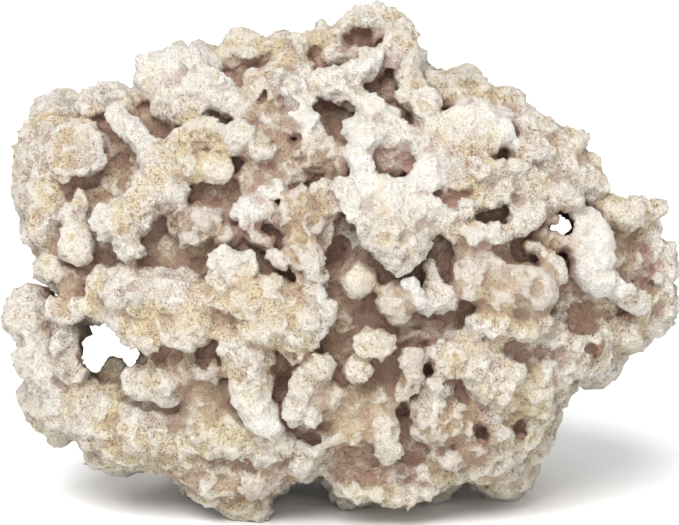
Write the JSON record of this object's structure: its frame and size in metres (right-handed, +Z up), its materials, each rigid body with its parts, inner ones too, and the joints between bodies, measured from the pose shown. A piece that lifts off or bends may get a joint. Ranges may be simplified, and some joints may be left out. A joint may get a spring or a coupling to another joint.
{
  "type": "dry reef rock",
  "caption": "Chunk of porous, knobbly reef rock with ledges, caves and an arch, standing on its own feet.",
  "frame": {"origin": "on the ground, under the middle of the rock's box", "axes": "+X along the rock's longest extent, +Y away from the face seen in the picture, +Z up"},
  "size_m": [0.3, 0.1928, 0.2241],
  "materials": {
    "reef_stone": "dry, chalky, rough porous stone"
  },
  "bodies": {
    "root": {"reef_rock": "reef_stone"}
  },
  "joints": []
}
